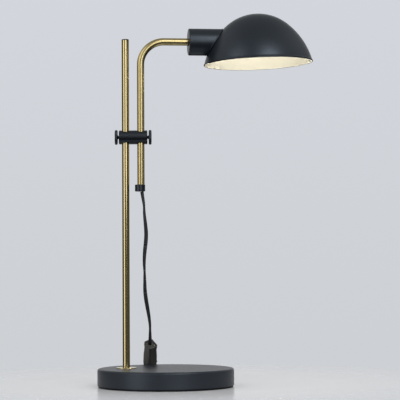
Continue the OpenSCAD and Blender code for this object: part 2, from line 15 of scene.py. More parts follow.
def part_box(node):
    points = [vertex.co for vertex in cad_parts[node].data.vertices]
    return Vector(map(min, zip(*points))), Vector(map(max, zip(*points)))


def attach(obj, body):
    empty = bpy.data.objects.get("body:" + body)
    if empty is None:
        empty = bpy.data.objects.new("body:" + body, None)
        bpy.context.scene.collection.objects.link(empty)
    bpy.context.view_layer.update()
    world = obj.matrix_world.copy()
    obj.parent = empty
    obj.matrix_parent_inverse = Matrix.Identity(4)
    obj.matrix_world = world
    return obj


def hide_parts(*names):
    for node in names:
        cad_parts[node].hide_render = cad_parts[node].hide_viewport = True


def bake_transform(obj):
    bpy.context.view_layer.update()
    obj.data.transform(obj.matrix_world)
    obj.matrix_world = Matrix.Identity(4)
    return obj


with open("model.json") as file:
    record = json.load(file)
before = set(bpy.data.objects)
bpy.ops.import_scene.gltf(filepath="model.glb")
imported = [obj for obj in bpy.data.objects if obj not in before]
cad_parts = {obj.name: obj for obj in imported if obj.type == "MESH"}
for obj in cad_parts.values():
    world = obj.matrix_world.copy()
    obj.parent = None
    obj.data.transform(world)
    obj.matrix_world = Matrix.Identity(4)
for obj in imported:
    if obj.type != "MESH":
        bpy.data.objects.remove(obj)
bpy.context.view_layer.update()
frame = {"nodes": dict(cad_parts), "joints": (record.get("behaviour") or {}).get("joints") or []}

bpy.ops.object.select_all(action="DESELECT")
nodes = frame["nodes"]

# %% [markdown]
# ## Sizes
# Workshop drawings use millimetres and Blender uses metres, so `MM` turns one into the other. The places of
# the tubes come from the frame, so that nothing is fitted by eye.

# %% Places that the other cells share
MM = 0.001
mast_low, mast_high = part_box("mast")
mast_x = (mast_low.x + mast_high.x) / 2
pivot = next(j for j in frame["joints"] if j["name"] == "shade_turn")
leg_start = Vector(pivot["pos_m"])
leg_dir = Vector(pivot["axis"]).normalized()
leg_yaw = math.atan2(leg_dir.y, leg_dir.x)
clamp_low, clamp_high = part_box("clamp_body")
clamp_z = (clamp_low.z + clamp_high.z) / 2
print("mast at x %.1f mm, leg turned %.1f degrees" % (mast_x / MM, math.degrees(leg_yaw)))

# %% [markdown]
# ## Camera
# A product photographer stands well back with a long lens, which keeps the mast straight and the base's
# ellipse thin. The camera looks along +Y from over two metres and is tipped up by a few degrees.

# %% Camera
def add_object(name, data):
    """A new object in the scene."""
    made = bpy.data.objects.new(name, data)
    bpy.context.scene.collection.objects.link(made)
    return made


CAMERA_AT = (0.0475, -2.232, 0.164)
CAMERA_PITCH = math.radians(2.273)
CAMERA_ROLL = math.radians(-0.31)
LENS_MM = 147.9

camera_data = bpy.data.cameras.new("camera")
camera_data.lens = LENS_MM
camera_data.sensor_width = 36
camera = add_object("camera", camera_data)
camera.matrix_world = (Matrix.Translation(CAMERA_AT)
                       @ Matrix.Rotation(math.pi / 2 + CAMERA_PITCH, 4, "X")
                       @ Matrix.Rotation(CAMERA_ROLL, 4, "Z"))
bpy.context.scene.camera = camera
bpy.context.scene.view_settings.view_transform = "Standard"
print("lens %.1f mm at %.2f m" % (LENS_MM, -CAMERA_AT[1]))

# %% [markdown]
# ## The cord's line
# A flat twin flex hangs from the arm's lower end to the switch behind the base. From there it lies on the
# table, goes into a coil and ends at the plug. Its points are the solid's own, with a smooth curve through
# them, because a real flex has no corners.

# %% A smooth line through a list of points
def smooth_line(points, step):
    """Points about a step apart on a Catmull-Rom curve that passes through all the given points."""
    p = [2 * points[0] - points[1], *points, 2 * points[-1] - points[-2]]
    line = []
    for a, b, c, d in zip(p, p[1:], p[2:], p[3:]):
        count = max(2, round((c - b).length / step))
        for i in range(count):
            t = i / count
            line.append(0.5 * (2 * b + (c - a) * t + (2 * a - 5 * b + 4 * c - d) * t ** 2
                               + (3 * b - 3 * c + d - a) * t ** 3))
    return line + [points[-1]]


def in_metres(rows):
    return [Vector(row) * MM for row in rows]


def length_of(line):
    return sum((b - a).length for a, b in zip(line, line[1:]))


drop_route = in_metres([
    (-31.4, 0, 264.3), (-30, 0, 255), (-28.7, 0, 246), (-28.2, 0.5, 234), (-27, 1, 222),
    (-26, 2.5, 208), (-26.6, 4, 196), (-28.2, 6.5, 182), (-29, 9.5, 168), (-28.7, 13, 156),
    (-28.6, 18, 142), (-28.5, 23, 130), (-27.3, 29, 117), (-25.5, 35, 105), (-23.8, 42, 93),
    (-22.8, 49, 82), (-22.9, 57.5, 71.5), (-23.2, 66.5, 62.9), (-23.6, 75.4, 55.2)])
lead_route = in_metres([
    (-26.6, 116.5, 11.4), (-26.8, 120.4, 7.2), (-26.8, 125, 4.2), (-26.5, 130.4, 2.95),
    (-26, 136.5, 2.75), (-25, 143, 2.75), (-22.9, 149.7, 2.75), (-20, 156, 2.75),
    (-15.6, 162.2, 2.75), (-9.5, 167.2, 2.75), (-2, 170.4, 2.75), (7, 171.4, 2.85),
    (20, 171.4, 3), (32, 171.4, 3.2)])
tail_route = in_metres([
    (19.5, 110.5, 8.65), (12, 118, 8.7), (4, 126, 8.8), (-4, 134.2, 8.8), (-10, 141.4, 8.8),
    (-13.4, 149, 8.8), (-14.4, 156.5, 8.8), (-15.2, 165, 8.6), (-19.5, 174, 7.6),
    (-27, 180, 5.2), (-37, 182.6, 3.2), (-47, 180.6, 2.9), (-55, 175, 3.8),
    (-60, 168, 5.2), (-61.9, 161.5, 6.4), (-62, 156, 6.85), (-62, 150, 6.85)])
print("points:", len(drop_route), len(lead_route), len(tail_route))

# %% [markdown]
# ## The coil
# Wound flex stands on edge, because it bends most easily across its thin side. Four turns lie on the table
# and three on top of them. In the last part of each turn the radius steps in, and later out, by one
# thickness of flex, so a loop can work the turns out.

# %% The turns of the coil
COIL_CENTRE = Vector((44, 135, 0)) * MM
COIL_TURNS = [(36.4, 3.2), (33, 3.2), (29.6, 3.2), (26.2, 3.2), (27.9, 8.65), (31.3, 8.65), (34.7, 8.65)]
COIL_LAST = 0.625  # how much of the last turn there is
COIL_STEP = 0.75  # the share of a turn after which it moves over to the next one's place
STEPS_PER_TURN = 48


def ease(t):
    t = min(1, max(0, t))
    return t * t * (3 - 2 * t)


def coil_line():
    """The middle line of the coil, clockwise seen from above, from its far side on."""
    line = []
    count = round(STEPS_PER_TURN * (len(COIL_TURNS) - 1 + COIL_LAST))
    for i in range(count + 1):
        turn = min(int(i / STEPS_PER_TURN), len(COIL_TURNS) - 1)
        part = i / STEPS_PER_TURN - turn
        r, z = COIL_TURNS[turn]
        if turn + 1 < len(COIL_TURNS):
            r_next, z_next = COIL_TURNS[turn + 1]
            over = ease((part - COIL_STEP) / (1 - COIL_STEP))
            r += (r_next - r) * over
            z += (z_next - z) * over
        angle = math.pi / 2 - math.tau * i / STEPS_PER_TURN
        line.append(COIL_CENTRE + Vector((r * math.cos(angle), r * math.sin(angle), z)) * MM)
    return line


STEP = 2.5 * MM
drop_line = smooth_line(drop_route, STEP)
coil = coil_line()
floor_line = smooth_line(lead_route + coil[:1], STEP)[:-1] + coil + smooth_line(tail_route, STEP)[1:]
print("cord: drop %.0f mm, rest %.0f mm" % (length_of(drop_line) / MM, length_of(floor_line) / MM))

# %% [markdown]
# ## The flex as a mesh
# The real flex is two round cores in one sheath, with a groove between them, and it twists as it hangs. A
# curve with a round bevel can't show that. So each ring of the mesh has the outline of two touching circles
# and is turned a little further than the last. A UV map runs along it, for the sheath's fine lines.

# %% A flat twin flex along a line
FLEX_W = 5.4 * MM
FLEX_T = 3.2 * MM
RING_POINTS = 24


def flex_outline():
    """(across, thick) points of two circles side by side, as one outline."""
    core_r = FLEX_T / 2
    shift = (FLEX_W - FLEX_T) / 2
    points = []
    for k in range(RING_POINTS):
        a = math.tau * k / RING_POINTS
        c = abs(math.cos(a))
        r = shift * c + math.sqrt(core_r ** 2 - shift ** 2 * (1 - c * c))
        points.append((r * math.cos(a), r * math.sin(a)))
    return points


def flex_rings(line, guide, turns):
    """A ring of points at each place of the line. guide is a direction that the width follows, and turns
    gives the twist in whole turns at each share of the length."""
    total = length_of(line)
    outline = flex_outline()
    rings, gone = [], 0
    for i, p in enumerate(line):
        gone += (p - line[i - 1]).length if i else 0
        along = (line[min(i + 1, len(line) - 1)] - line[max(i - 1, 0)]).normalized()
        across = (guide - along * guide.dot(along)).normalized()
        across = Matrix.Rotation(math.tau * turns(gone / total), 3, along) @ across
        thick = along.cross(across)
        rings.append([p + across * a + thick * b for a, b in outline])
    return rings


def through_rings(name, rings, around=False, caps_first=False):
    """A piece with a ring of points at each place. It has two caps, or else its last ring meets the first."""
    n, count = len(rings[0]), len(rings)
    caps = [] if around else [list(range(n))[::-1], [(count - 1) * n + k for k in range(n)]]
    sides = []
    for i in range(count - (not around)):
        here, there = i * n, (i + 1) % count * n
        sides += [[here + k, here + (k + 1) % n, there + (k + 1) % n, there + k] for k in range(n)]
    faces = caps + sides if caps_first else sides + caps
    mesh = bpy.data.meshes.new(name)
    mesh.from_pydata([tuple(v) for ring in rings for v in ring], [], faces)
    return add_object(name, mesh)


def tell(*pieces):
    for piece in pieces:
        print("%s: %d faces" % (piece.name, len(piece.data.polygons)))


def flex_mesh(name, rings):
    """A closed tube through the rings, with a UV map: U is the share of the way round, and V is in metres
    along the flex. U runs back to 0 over the last of the sides."""
    piece = through_rings(name, rings, caps_first=True)
    middle = [sum(ring, Vector()) / RING_POINTS for ring in rings]
    along = [0]
    for a, b in zip(middle, middle[1:]):
        along.append(along[-1] + (b - a).length)
    uv = piece.data.uv_layers.new(name="Flex")
    for loop in piece.data.loops:
        ring, k = divmod(loop.vertex_index, RING_POINTS)
        uv.data[loop.index].uv = (k / RING_POINTS, along[ring])
    for poly in piece.data.polygons[2:]:
        poly.use_smooth = True
    return piece


# %% [markdown]
# ## The hanging cord in four pieces
# The cord's top end moves with the arm and its lower end stays with the base. Four joints lie between, and a
# blend can cross only one, so the hanging stretch is cut into four pieces that share their end rings. The
# long ones are at the two sliding joints, where the cord has to give most.

# %% The hanging stretch in four pieces
DROP_CUTS = [(193, "arm", "arm_bush"), (160, "arm_bush", "clamp"), (128, "clamp", "mast_bush"),
             (0, "mast_bush", "base")]  # (height of the lower end, upper body, lower body)
DROP_TURN, DROP_TWIST = 0.12, 1.3  # in whole turns: at the top, and from there down to the switch
drop_rings = flex_rings(drop_line, Vector((1, 0, 0)), lambda t: DROP_TURN + DROP_TWIST * t)
flex_pieces, flex_lines = [], []
start = 0
for cut_z, upper, lower in DROP_CUTS:
    end = next((i for i, p in enumerate(drop_line) if p.z < cut_z * MM), len(drop_line) - 1)
    part = drop_line[start:end + 1]
    piece = flex_mesh("flex_" + upper, drop_rings[start:end + 1])
    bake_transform(piece)
    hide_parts("cord_drop")
    flex_pieces.append(piece)
    flex_lines.append(part)
    print(piece.name, "%.1f mm" % (length_of(part) / MM))
    start = end

# %% The stretch on the table, from the switch to the plug
lead_share = length_of(lead_route) / length_of(floor_line)
tail_share = 1 - length_of(tail_route) / length_of(floor_line)
LEAD_TURN, PLUG_TURN = 0.3, 0.25  # in whole turns, at the switch and at the plug


def floor_turns(t):
    """Turned over where the flex leaves the switch, on edge in the coil, flat at the plug."""
    return LEAD_TURN * (1 - ease(t / lead_share)) + PLUG_TURN * ease((t - tail_share) / (1 - tail_share))


floor_flex = flex_mesh("flex_coil", flex_rings(floor_line, Vector((0, 0, 1)), floor_turns))
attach(floor_flex, "base")
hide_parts("cord_lead", "cord_coil", "cord_tail")
flex_pieces.append(floor_flex)
flex_lines.append(floor_line)
tell(floor_flex)

# %% [markdown]
# ## Colours and shared surface effects
# Colours are picked as they look on a screen and turned into the shader's linear values. Three effects come
# back in many finishes, so each is a node group with its own inputs: the fine orange peel of sprayed paint,
# the hairlines of brushed metal, and the light scuffing of moulded plastic.

# %% Colour and node helpers
def colour(r, g, b, a=1.0):
    """A screen colour, 0 to 255, as linear values."""
    return tuple(((c / 255 + 0.055) / 1.055) ** 2.4 if c > 10 else c / 3294.6 for c in (r, g, b)) + (a,)


def node(t, kind, **inputs):
    """A shader node, with the sockets named in inputs set to a value or linked to another socket. i0 is the
    first socket, and a name that starts with n_ is a setting of the node."""
    made = t.nodes.new("ShaderNode" + kind)
    for name, value in inputs.items():
        if name.startswith("n_"):
            setattr(made, name[2:], value)
            continue
        socket = made.inputs[int(name[1:])] if name[0] == "i" and name[1:].isdigit() else None
        socket = socket or made.inputs[name.replace("_", " ")]
        if isinstance(value, bpy.types.NodeSocket):
            t.links.new(value, socket)
        else:
            socket.default_value = value
    return made


def maths(t, operation, *values):
    """The result of a Math node."""
    sockets = {"i%d" % i: value for i, value in enumerate(values)}
    return node(t, "Math", n_operation=operation, **sockets).outputs[0]


def remap(t, value, low, high, to_low=0.0, to_high=1.0):
    """A value from low to high, moved to the range from to_low to to_high and kept inside it."""
    return node(t, "MapRange", Value=value, From_Min=low, From_Max=high, To_Min=to_low,
                To_Max=to_high).outputs[0]


def noise(t, vector, scale, detail, **more):
    return node(t, "TexNoise", Vector=vector, Scale=scale, Detail=detail, **more).outputs[0]


def scaled(t, value, by):
    """A colour times a number."""
    return node(t, "VectorMath", n_operation="SCALE", i0=value, Scale=by).outputs[0]


def mixed(t, share, first, second):
    """A colour between two."""
    return node(t, "Mix", n_data_type="RGBA", i0=share, i6=first, i7=second).outputs[2]


def new_group(name, *extra):
    """An empty shader group with a Vector and the extra inputs (name, kind, value), and its three results."""
    t = bpy.data.node_groups.new(name, "ShaderNodeTree")
    for label, kind, value in (("Vector", "Vector", None), *extra):
        made = t.interface.new_socket(label, in_out="INPUT", socket_type="NodeSocket" + kind)
        if value is not None:
            made.default_value = value
    for label, kind in (("Height", "Float"), ("Shade", "Color"), ("Roughness", "Float")):
        t.interface.new_socket(label, in_out="OUTPUT", socket_type="NodeSocket" + kind)
    return t, t.nodes.new("NodeGroupInput").outputs, t.nodes.new("NodeGroupOutput").inputs


def send(t, result, **values):
    for name, value in values.items():
        t.links.new(value, result[name])
    print("%s: %d nodes" % (t.name, len(t.nodes)))


# %% Orange peel of sprayed paint
peel, given, result = new_group("Sprayed paint", ("Grain mm", "Float", 0.4), ("Colour", "Color", None),
                                ("Gloss", "Float", 0.4))
fine = noise(peel, given["Vector"], maths(peel, "DIVIDE", 1000.0, given["Grain mm"]), 2.0)
broad = noise(peel, given["Vector"], 14.0, 2.0)  # clouds of about 70 mm
sandy = noise(peel, given["Vector"], 450.0, 1.0)  # patches of about 2 mm
tone = maths(peel, "MULTIPLY", remap(peel, broad, 0, 1, 0.94, 1.07), remap(peel, fine, 0, 1, 0.9, 1.1))
send(peel, result, Height=fine, Shade=scaled(peel, given["Colour"], tone),
     Roughness=maths(peel, "MULTIPLY", given["Gloss"], remap(peel, sandy, 0.25, 0.75, 0.86, 1.14)))

# %% Hairlines of brushed metal
brush, given, result = new_group("Brushed metal", ("Light", "Color", None), ("Dark", "Color", None),
                                 ("Gloss", "Float", 0.2))
lines = noise(brush, given["Vector"], 1.0, 3.0, Roughness=0.6)
cloud = noise(brush, given["Vector"], 0.08, 2.0)
tone = remap(brush, maths(brush, "MULTIPLY_ADD", lines, 0.55, cloud), 0.55, 1.0)
send(brush, result, Height=lines, Shade=mixed(brush, tone, given["Dark"], given["Light"]),
     Roughness=maths(brush, "MULTIPLY", given["Gloss"], remap(brush, lines, 0.3, 0.7, 0.92, 1.08)))

# %% Scuffing of moulded plastic
mould, given, result = new_group("Moulded plastic", ("Colour", "Color", None), ("Grain mm", "Float", 0.5))
grain = node(mould, "TexVoronoi", Vector=given["Vector"],
             Scale=maths(mould, "DIVIDE", 1000.0, given["Grain mm"])).outputs[0]
scuff = noise(mould, given["Vector"], 90.0, 4.0)
send(mould, result, Height=grain, Shade=scaled(mould, given["Colour"], remap(mould, scuff, 0, 1, 0.8, 1.25)),
     Roughness=remap(mould, scuff, 0, 1, 0.42, 0.62))

# %% [markdown]
# ## Finishes
# Each finish is a Principled shader with the colour, roughness and a faint bump from one of the groups. Plain
# numbers, such as the metal's strength, sit on the shader's own sockets.

# %% One material from one group
def new_look(name):
    """An empty material with its node tree and its shader."""
    material = bpy.data.materials.new(name)
    material.use_nodes = True
    return material, material.node_tree, material.node_tree.nodes["Principled BSDF"]


def finish(name, tree, bump, uv=None, follow=None, stretch=(1, 1, 1), shader=None, **inputs):
    """A material whose colour, roughness and bump come from a shared group. bump is (strength, distance),
    and follow is a function that turns Object coordinates into ones that follow a bent shape."""
    material, t, principled = new_look(name)
    if uv:
        place = node(t, "UVMap", n_uv_map=uv).outputs[0]
    else:
        place = node(t, "TexCoord").outputs["Object"]
    if follow:
        place = follow(t, place)
    mapped = node(t, "Mapping", Vector=place, Scale=stretch)
    group = node(t, "Group", n_node_tree=tree, Vector=mapped.outputs[0], **inputs)
    bumped = node(t, "Bump", Strength=bump[0], Distance=bump[1], Height=group.outputs["Height"])
    t.links.new(group.outputs["Shade"], principled.inputs["Base Color"])
    t.links.new(group.outputs["Roughness"], principled.inputs["Roughness"])
    t.links.new(bumped.outputs[0], principled.inputs["Normal"])
    for socket, value in (shader or {}).items():
        principled.inputs[socket].default_value = value
    return material


# %% [markdown]
# The arm's hairlines were made while its tube was straight, so they turn with the bend. Its material gets
# coordinates of its own: across the arm, out from the middle of the bend, and along.

# %% Coordinates that follow the arm
BEND_R = 32 * MM


def along_arm(t, place):
    """Coordinates across the arm, out from its bend and along it."""
    turn_back = Matrix.Rotation(-leg_yaw, 3, "Z")
    level = node(t, "Mapping", Vector=place, Rotation=(0, 0, -leg_yaw),
                 Location=-(turn_back @ Vector((leg_start.x, leg_start.y, 0))))
    x, y, z = node(t, "SeparateXYZ", Vector=level.outputs[0]).outputs
    inward = maths(t, "MINIMUM", maths(t, "SUBTRACT", x, BEND_R), 0.0)
    upward = maths(t, "MAXIMUM", maths(t, "SUBTRACT", z, leg_start.z - BEND_R), 0.0)
    spoke = node(t, "CombineXYZ", X=inward, Y=upward)
    radius = node(t, "VectorMath", n_operation="LENGTH", i0=spoke.outputs[0]).outputs["Value"]
    return node(t, "CombineXYZ", X=y, Y=radius, Z=maths(t, "ADD", x, z)).outputs[0]


# %% [markdown]
# Three dark paints differ a little in colour and gloss, and their shine is slightly blue, as the room is. The
# tubes' hairlines are finer than a bump can show from this far, so they only vary the tone and gloss. The
# mast is polished, and the arm is brushed a little rougher.

# %% Paints, metals and plastics
def paint(name, rgb, bump=0.25, grain=0.5, **more):
    return finish(name, peel, (bump, 0.0001), Colour=colour(*rgb), Grain_mm=grain, **more)


def metal(name, light, dark, bump, stretch, **more):
    return finish(name, brush, bump, stretch=stretch, Light=colour(*light), Dark=colour(*dark),
                  shader={"Metallic": 1.0}, **more)


def moulded(name, rgb, grain, bump, depth=0.0001, **more):
    return finish(name, mould, (bump, depth), Colour=colour(*rgb), Grain_mm=grain, **more)


SHINE = {"Specular IOR Level": 0.62, "Specular Tint": (0.74, 0.86, 1.0, 1.0)}
charcoal = paint("charcoal_paint", (22, 26, 31), Gloss=0.37, shader=SHINE)
base_paint = paint("base_paint", (26, 29, 34), Gloss=0.4, shader=SHINE)
clamp_paint = paint("clamp_paint", (12, 14, 17), 0.2, 0.4, Gloss=0.31,
                    shader={**SHINE, "Specular IOR Level": 0.75})
cream = paint("cream_paint", (246, 242, 228), 0.15)
TUBE = (203, 187, 139), (190, 172, 121), (0.0, 0.00002), (1600, 1600, 6)
antique = metal("antique_brass", *TUBE, Gloss=0.13)
arm_brass = metal("arm_brass", *TUBE, Gloss=0.3, follow=along_arm)
bright_brass = metal("bright_brass", (238, 222, 180), (216, 196, 144), (0.06, 0.00005), (500, 500, 500))
zinc = metal("zinc_plate", (190, 192, 196), (130, 133, 138), (0.1, 0.00005), (600, 600, 600))
iron = moulded("cast_iron", (45, 45, 47), 1.5, 0.5, 0.0003)
pad_rubber = moulded("pad_rubber", (10, 10, 12), 0.4, 0.2, shader={"Specular IOR Level": 0.15})
black_plastic = moulded("black_plastic", (28, 29, 31), 0.4, 0.15)
switch_plastic = moulded("switch_plastic", (60, 60, 56), 0.35, 0.2)
white_plastic = moulded("white_plastic", (236, 232, 222), 0.5, 0.1)
brown_fibre = moulded("brown_fibre", (96, 62, 44), 0.6, 0.3)
flex_sheath = moulded("flex_sheath", (30, 31, 34), 0.8, 0.15, uv="Flex", stretch=(0.02, 1, 1))
GLOW = colour(248, 245, 236)
opal = moulded("opal_glass", (250, 246, 236), 0.5, 0.02, 0.00002,
               shader={"Emission Color": GLOW, "Emission Strength": 6.2})
print("materials:", len(bpy.data.materials))

# %% [markdown]
# The bulb lights the inside of the shade, most strongly beside the cup, so its glow falls off towards its
# far end. That end looks out past the rim, where a dimmer glass doesn't dazzle.

# %% The bulb's glow
GLOW_NEAR, GLOW_FAR = 1.5, 0.5
glass_low, glass_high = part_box("bulb_glass")
t = opal.node_tree
place = node(t, "TexCoord").outputs["Object"]
reach = node(t, "SeparateXYZ", Vector=place).outputs["X"]
glow = scaled(t, GLOW[:3], remap(t, reach, glass_low.x, glass_high.x, GLOW_NEAR, GLOW_FAR))
t.links.new(glow, t.nodes["Principled BSDF"].inputs["Emission Color"])
print("bulb glass from %.0f to %.0f mm" % (glass_low.x / MM, glass_high.x / MM))

# %% Finishes of the frame's own parts
FRAME_PARTS = [
    (base_paint, "base_cover"), (iron, "base_weight"), (pad_rubber, "base_pad"), (antique, "mast"),
    (arm_brass, "arm_tube"), (charcoal, "shade socket_cup"), (opal, "bulb_glass"),
    (clamp_paint, "clamp_body left_thumb_screw right_thumb_screw cord_cap"),
    (bright_brass, "mast_flange left_pressure_pad right_pressure_pad holder_shell holder_tongue "
                   "switch_terminals plug_pins"),
    (zinc, "mast_insert mast_screw mast_washer cap_grub_screw pivot_nipple pivot_wave_washer pivot_nut "
           "bulb_cap bulb_tip shade_screws switch_screws"),
    (black_plastic, "mast_plug mast_bush arm_bush inner_cord holder_cap holder_skirt cord_drop cord_lead "
                    "cord_coil cord_tie cord_tail plug_body plug_relief"),
    (white_plastic, "holder_insert bulb_collar"), (brown_fibre, "pivot_fibre_washer holder_leads"),
    (switch_plastic, "switch_front switch_back switch_rocker")]
looks = {name: look for look, names in FRAME_PARTS for name in names.split()}
for name, part in nodes.items():
    for part_slot in part.material_slots:
        part_slot.material = looks[name]
for piece in flex_pieces:
    piece.data.materials.append(flex_sheath)
print("%d parts of the frame with %d finishes" % (len(looks), len(FRAME_PARTS)))

# %% [markdown]
# ## Modelling helpers
# Most parts of the lamp are turned or spun from sheet. Each starts as one vertex, is drawn as a half outline
# by extruding it point by point, and is then spun round an axis. Every piece keeps its object at the origin
# and its place in its mesh, so that it moves with its body as the frame's own parts do.

# %% Picking, drawing, spinning and settling
def at(x, y, z):
    """A move by millimetres."""
    return Matrix.Translation(Vector((x, y, z)) * MM)


def turned(degrees, axis):
    return Matrix.Rotation(math.radians(degrees), 4, axis)


def pick(*pieces):
    """Leaves Edit Mode and selects only these pieces, of which the last is the active one."""
    if bpy.context.object and bpy.context.object.mode != "OBJECT":
        bpy.ops.object.mode_set(mode="OBJECT")
    bpy.ops.object.select_all(action="DESELECT")
    for piece in pieces:
        piece.select_set(True)
        bpy.context.view_layer.objects.active = piece


def edit(piece):
    pick(piece)
    bpy.ops.object.mode_set(mode="EDIT")


def pick_mesh():
    bpy.ops.mesh.select_all(action="SELECT")


def merge_near(distance):
    """Joins points that lie closer together than distance, in millimetres."""
    pick_mesh()
    bpy.ops.mesh.remove_doubles(threshold=distance * MM)


def pull(move):
    """Extrudes what is selected and moves the new points."""
    bpy.ops.mesh.extrude_region_move(TRANSFORM_OT_translate={"value": move})


def face_outwards():
    pick_mesh()
    bpy.ops.mesh.normals_make_consistent(inside=False)


def smooth_below(angle):
    """Shades as smooth the edges that turn by less than angle, in degrees."""
    bpy.ops.object.shade_smooth_by_angle(angle=math.radians(angle))


def settle(piece, matrix=None):
    """Moves a piece by a matrix and then puts its place into its mesh."""
    pick(piece)
    if matrix is not None:
        piece.matrix_world = matrix @ piece.matrix_world
    bpy.ops.object.transform_apply(location=True, rotation=True, scale=True)


def draw_line(name, points):
    """A line of edges through the points, drawn by extruding one vertex."""
    pick()
    bpy.ops.mesh.primitive_plane_add(size=MM, location=points[0])
    piece = bpy.context.object
    piece.name = name
    settle(piece)
    edit(piece)
    bpy.ops.mesh.select_mode(type="VERT")
    pick_mesh()
    bpy.ops.mesh.merge(type="CENTER")
    for a, b in zip(points, points[1:]):
        pull(Vector(b) - Vector(a))
    return piece


def lathe(name, profile, matrix=None, steps=96, smooth=35):
    """Spins a half outline of (radius, height) points in millimetres round Z, and puts it in place."""
    piece = draw_line(name, [(r * MM, 0, h * MM) for r, h in profile])
    pick_mesh()
    bpy.ops.mesh.spin(steps=steps, angle=math.tau, center=(0, 0, 0), axis=(0, 0, 1))
    merge_near(0.002)
    face_outwards()
    pick(piece)
    smooth_below(smooth)
    settle(piece, matrix)
    return piece


def apply_modifier(piece, kind, **settings):
    pick(piece)
    modifier = piece.modifiers.new(kind.lower(), kind)
    for name, value in settings.items():
        setattr(modifier, name, value)
    bpy.ops.object.modifier_apply(modifier=modifier.name)


def cut(piece, cutter, operation="DIFFERENCE"):
    """Cuts a piece with another, which is then deleted."""
    apply_modifier(piece, "BOOLEAN", operation=operation, solver="EXACT", object=cutter)
    bpy.data.objects.remove(cutter)


def round_edges(piece, width, segments, angle):
    """Bevels, width millimetres wide, the edges that turn by more than angle, in degrees."""
    apply_modifier(piece, "BEVEL", width=width * MM, segments=segments, limit_method="ANGLE",
                   angle_limit=math.radians(angle))


def join(pieces, name):
    """Makes one piece of several."""
    pick(*pieces[1:], pieces[0])
    bpy.ops.object.join()
    pieces[0].name = name
    return pieces[0]


def arc(x, y, r, start, end, count):
    """Points on an arc, with its angles in degrees."""
    angles = [math.radians(start + (end - start) * i / count) for i in range(count + 1)]
    return [(x + r * math.cos(a), y + r * math.sin(a)) for a in angles]


# %% [markdown]
# ## The shade
# The real shade is a disc of sheet steel, spun over a form into a dome and curled outwards at the rim, which
# stiffens it and leaves no sharp edge. Its outline is two arcs: a round top and a flatter side. The outline
# is drawn down the inside, round the curl and up the outside, so that one spin gives the whole wall.

# %% The dome's own numbers, in millimetres
DOME_H = 68.7
CAP_R, SIDE_R = 65, 100
MEET = 50  # degrees over level at which the arcs meet
SIDE_X = (CAP_R - SIDE_R) * math.cos(math.radians(MEET))
SIDE_H = DOME_H - CAP_R + (CAP_R - SIDE_R) * math.sin(math.radians(MEET))
RIM_R = SIDE_X + math.sqrt(SIDE_R ** 2 - SIDE_H ** 2)
SHEET, CURL_R = 1, 1
CURL_OUT = 0.4  # how far the curl stands out of the dome's side
DOME_SMOOTH = 50  # the edges between its wall and its curl turn by less than this
DOME_S, RIM_DROP, DOME_PITCH = 162.5, 28.9, 2.1  # along the leg, below it, and tipped up in degrees
LEG = Matrix.Translation(leg_start) @ Matrix.Rotation(leg_yaw, 4, "Z")
DOME = LEG @ at(DOME_S, 0, -RIM_DROP) @ turned(-DOME_PITCH, "Y")


def on_leg(s):
    """Places what is drawn along Z with its axis along the arm's level leg, s millimetres along it."""
    return LEG @ at(s, 0, 0) @ turned(90, "Y")


def dome_line(grow, count, foot=0):
    """The dome's outline from height foot to the pole, moved out by grow."""
    r = SIDE_R + grow
    low = math.degrees(math.asin((foot - SIDE_H) / r))
    side = arc(SIDE_X, SIDE_H, r, low, MEET, count)
    return side + arc(0, DOME_H - CAP_R, CAP_R + grow, MEET, 90, count * 2 // 3)[1:-1] + [(0, DOME_H + grow)]


# %% Spin the dome
curl = arc(RIM_R + CURL_OUT - CURL_R, CURL_R, CURL_R, 140, 405, 16)
dome_outline = (dome_line(-SHEET, 30, 2)[::-1] + curl + dome_line(0, 30, 2.2))
shade = lathe("shade_dome", dome_outline, steps=144, smooth=DOME_SMOOTH)
shade.data.materials.append(charcoal)
shade.data.materials.append(cream)
heart = Vector((0, 0, 10 * MM))  # the point that all inner faces look towards
for face in shade.data.polygons:
    is_inner = face.normal.dot(face.center - heart) < 0
    face.material_index = int(is_inner)
settle(shade, DOME)
print("dome: rim %.1f mm across" % (2 * RIM_R))

# %% [markdown]
# The lampholder comes in through the dome's side, and two screws beside it hold the dome to the cup. Their
# holes are drilled along the arm's level leg, not square to the sheet, so they are cut with straight bars.

# %% Drill the dome
HOLDER_HOLE_R, SCREW_HOLE_R, SCREW_Y = 13.5, 1.4, 15.2
DRILL_S, DRILL_L = 95, 60  # the drill's middle, along the leg, and its length
for side, r in ((0, HOLDER_HOLE_R), (-1, SCREW_HOLE_R), (1, SCREW_HOLE_R)):
    pick()
    bpy.ops.mesh.primitive_cylinder_add(vertices=64, radius=r * MM, depth=DRILL_L * MM)
    drill = bpy.context.object
    settle(drill, on_leg(DRILL_S) @ at(0, side * SCREW_Y, 0))
    cut(shade, drill)
pick(shade)
smooth_below(DOME_SMOOTH)
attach(shade, "head")
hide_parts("shade")
tell(shade)

# %% [markdown]
# ## The lip between the cup and the dome
# The cup ends in a thin rolled lip that follows the dome a hair above its paint. It isn't flat: it rises and
# falls as the round cup meets the round dome. For each direction round the cup, the place where its wall
# reaches the dome is found by halving, and a rounded section is swept through these places.

# %% The lip's line and section
CUP_R, SEAM = 18.4, 0.5
LIP_R, LIP_T = 0.75, 0.5  # half the lip's width along the cup, and how far it stands out
LIP_DEPTH, LIP_STEPS = 1.2, 144  # how far it goes into the cup's wall
SEARCH, HALVINGS = (60.0, 125.0), 40  # along the leg, from before the dome to behind it
to_dome = DOME.inverted()


def over_dome(point):
    """How far a point lies outside the dome's wall, in millimetres."""
    p = (to_dome @ point) / MM
    rho = math.hypot(p.x, p.y)
    if math.atan2(p.z - SIDE_H, rho - SIDE_X) < math.radians(MEET):
        return math.hypot(rho - SIDE_X, p.z - SIDE_H) - SIDE_R
    return math.hypot(rho, p.z - DOME_H + CAP_R) - CAP_R


